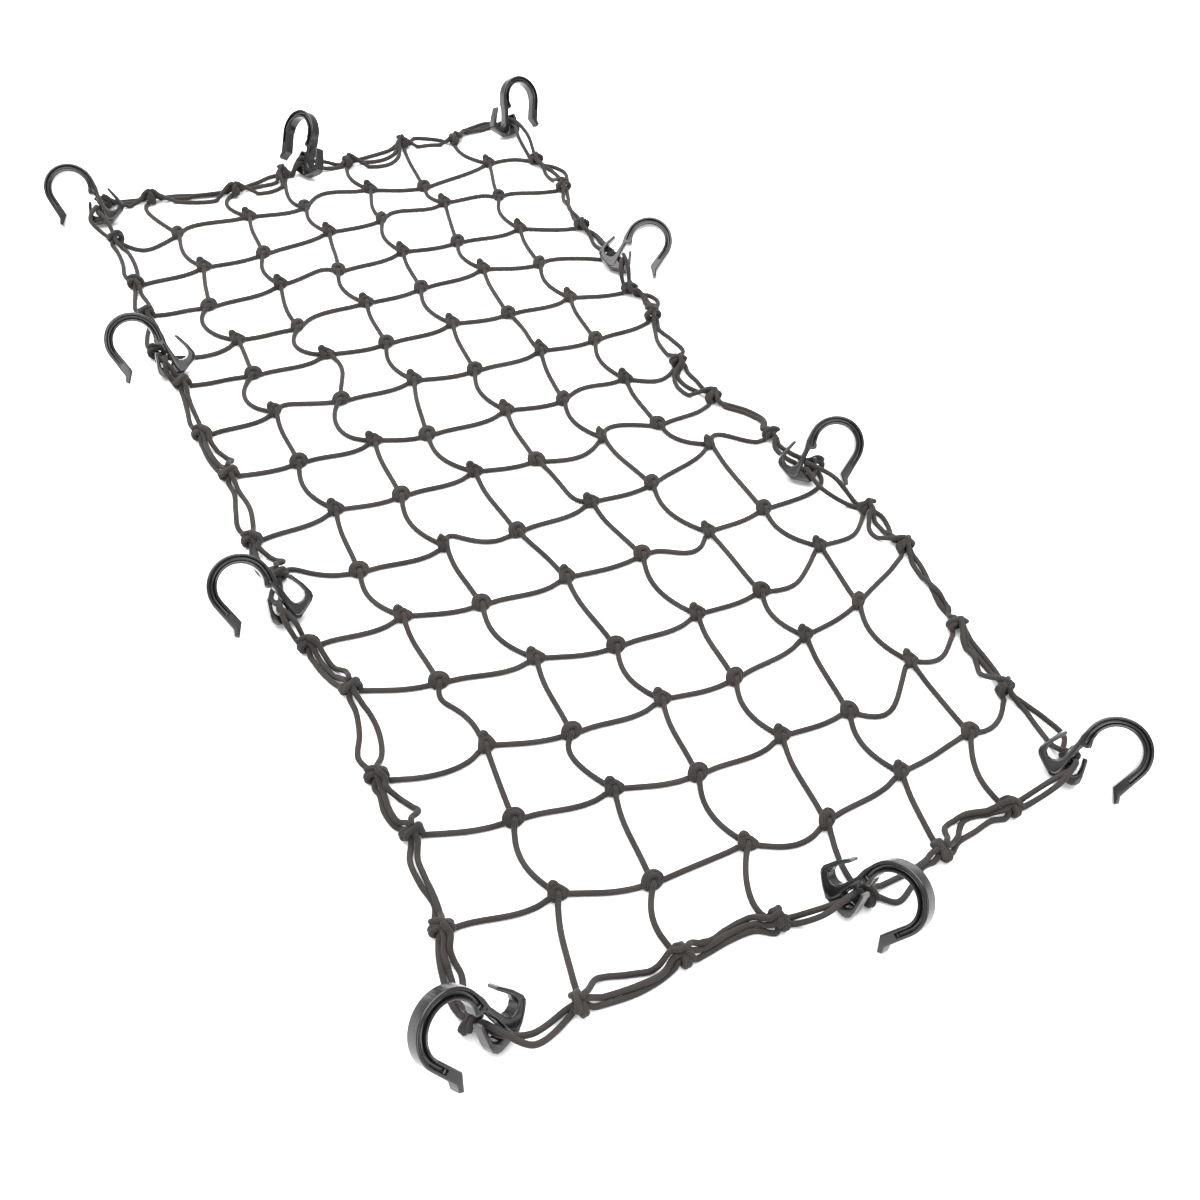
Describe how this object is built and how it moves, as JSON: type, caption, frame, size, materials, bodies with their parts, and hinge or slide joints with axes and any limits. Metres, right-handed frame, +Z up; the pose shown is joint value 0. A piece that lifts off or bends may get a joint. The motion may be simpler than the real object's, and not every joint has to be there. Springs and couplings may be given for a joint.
{
  "type": "luggage net",
  "caption": "Knotted elastic cord cargo net with hooks round its border, laid out flat, for tying luggage down.",
  "frame": {"origin": "middle of the net's bounding box, on the floor it lies on", "axes": "+Z up from the floor; +Y along the net's long way, towards its far end; +X to the right, seen from above with +Y away"},
  "size_m": [0.4397, 0.8316, 0.0441],
  "materials": {
    "cord": "matt braided cover over rubber",
    "hook_far_left": "satin moulded nylon",
    "hook_far_middle": "satin moulded nylon",
    "hook_far_right": "satin moulded nylon",
    "hook_right_far": "satin moulded nylon",
    "hook_right_near": "satin moulded nylon",
    "hook_near_right": "satin moulded nylon",
    "hook_near_middle": "satin moulded nylon",
    "hook_near_left": "satin moulded nylon",
    "hook_left_near": "satin moulded nylon",
    "hook_left_far": "satin moulded nylon"
  },
  "bodies": {
    "root": {"net": "cord", "hook_far_left": "hook_far_left", "hook_far_middle": "hook_far_middle", "hook_far_right": "hook_far_right", "hook_right_far": "hook_right_far", "hook_right_near": "hook_right_near", "hook_near_right": "hook_near_right", "hook_near_middle": "hook_near_middle", "hook_near_left": "hook_near_left", "hook_left_near": "hook_left_near", "hook_left_far": "hook_left_far"}
  },
  "joints": []
}
